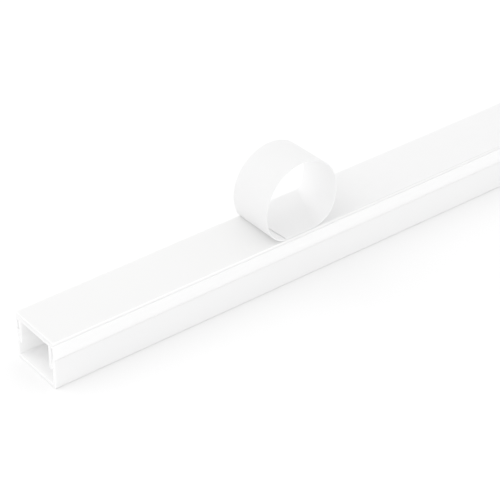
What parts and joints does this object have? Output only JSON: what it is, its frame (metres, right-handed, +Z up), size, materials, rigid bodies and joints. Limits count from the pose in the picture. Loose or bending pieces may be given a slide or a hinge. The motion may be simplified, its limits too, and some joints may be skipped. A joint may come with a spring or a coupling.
{
  "type": "cord cover raceway",
  "caption": "Straight white plastic cord cover raceway with a snap-fit cover, lying adhesive side up with its release liner partly peeled back into a standing curl.",
  "frame": {"origin": "middle of the cover's outer face, which lies on the floor", "axes": "+X along the length towards the end that is still covered by the liner, +Y across the width, +Z up, out of the adhesive back"},
  "size_m": [0.4, 0.02, 0.0398],
  "materials": {
    "raceway_plastic": "smooth extruded rigid vinyl, satin",
    "foam_tape": "closed-cell foam strip with a tacky adhesive face",
    "liner_film": "milky translucent release film, satin"
  },
  "bodies": {
    "root": {"base_channel": "raceway_plastic", "snap_cover": "raceway_plastic", "adhesive_tape": "foam_tape", "release_liner": "liner_film"}
  },
  "joints": []
}
